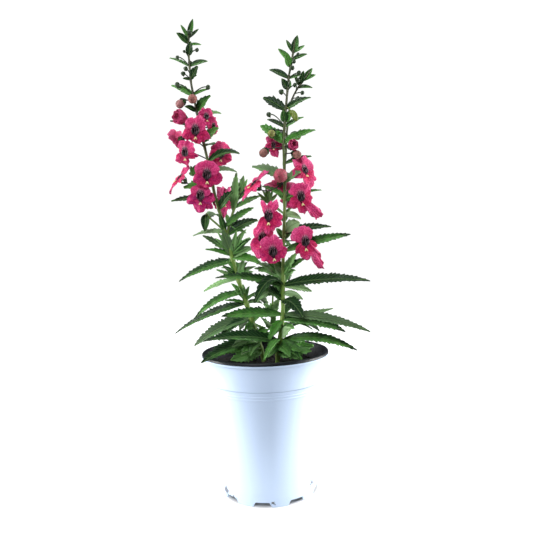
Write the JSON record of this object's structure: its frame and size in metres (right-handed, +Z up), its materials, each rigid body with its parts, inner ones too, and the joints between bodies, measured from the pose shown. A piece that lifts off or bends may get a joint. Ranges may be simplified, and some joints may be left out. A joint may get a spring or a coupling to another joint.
{
  "type": "potted summer snapdragon",
  "caption": "Potted flowering plant: upright leafy stems with toothed leaves and magenta lipped flowers, growing from a tapered plastic nursery pot.",
  "frame": {"origin": "under the middle of the pot, in the plane of its foot", "axes": "+Z up along the pot's axis, -Y the side that faces the viewer of the picture, +X to their right"},
  "size_m": [0.1665, 0.108, 0.4002],
  "materials": {
    "pot_plastic": "smooth white plastic",
    "potting_mix": "moist peat mix",
    "green_growth": "satin leaves and stems",
    "petals": "velvety petals",
    "coloured_buds": "closed buds"
  },
  "bodies": {
    "root": {"pot": "pot_plastic", "bloom_left_top": "petals", "bloom_left_2": "petals", "bloom_left_3": "petals", "bloom_left_4": "petals", "bloom_left_5": "petals", "bloom_left_6": "petals", "bloom_left_7": "petals", "bloom_left_8": "petals", "bloom_left_9": "petals", "bloom_left_10": "petals", "bloom_left_11": "petals", "bloom_right_top": "petals", "bloom_right_2": "petals", "bloom_right_3": "petals", "bloom_right_4": "petals", "bloom_right_5": "petals", "bloom_right_6": "petals", "bloom_right_7": "petals", "bloom_right_8": "petals", "bloom_right_9": "petals", "bloom_right_10": "petals", "bud_left_opening": "petals", "bud_left_high": "coloured_buds", "bud_left_dusty": "coloured_buds", "bud_right_cup": "petals", "bud_right_round": "coloured_buds", "bud_right_brown_left": "coloured_buds", "bud_right_brown_right": "coloured_buds", "bud_right_yellow_left": "coloured_buds", "bud_right_yellow_right": "coloured_buds", "stem_left": "green_growth", "stem_right": "green_growth", "soil": "potting_mix"}
  },
  "joints": []
}
